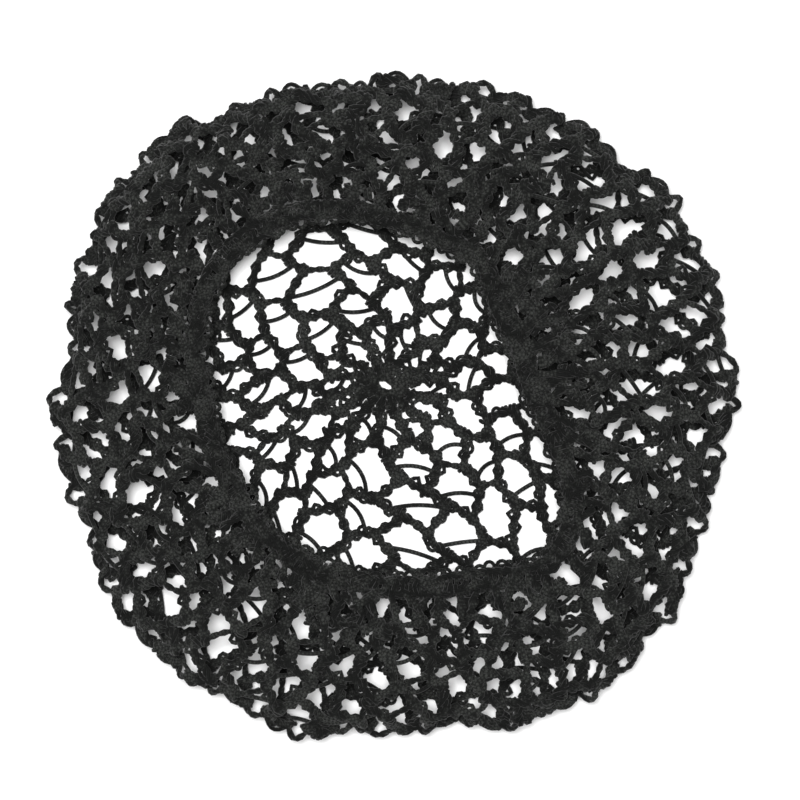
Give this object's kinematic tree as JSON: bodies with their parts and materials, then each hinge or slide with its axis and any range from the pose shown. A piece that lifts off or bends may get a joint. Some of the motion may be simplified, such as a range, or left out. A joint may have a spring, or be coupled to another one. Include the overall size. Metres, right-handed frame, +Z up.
{
  "type": "hair net",
  "caption": "Crocheted bag-shaped hair net of black rayon cord with an open mouth drawn in by a dense elastic rim, lying on its crown.",
  "frame": {"origin": "middle of the base, on the surface that the net lies on, under the middle of its outline", "axes": "+Z up out of the mouth, +X along the wider way across the outline, +Y towards the picture's upper edge"},
  "size_m": [0.261, 0.2516, 0.0376],
  "materials": {
    "net_cord": "soft satin",
    "ring_cord": "soft satin",
    "rim_cord": "matte"
  },
  "bodies": {
    "root": {"crown_ring": "ring_cord", "crown_net": "net_cord", "lower_net": "net_cord", "side_net": "net_cord", "upper_net": "net_cord", "gathered_net": "net_cord", "rim_band": "rim_cord"}
  },
  "joints": []
}
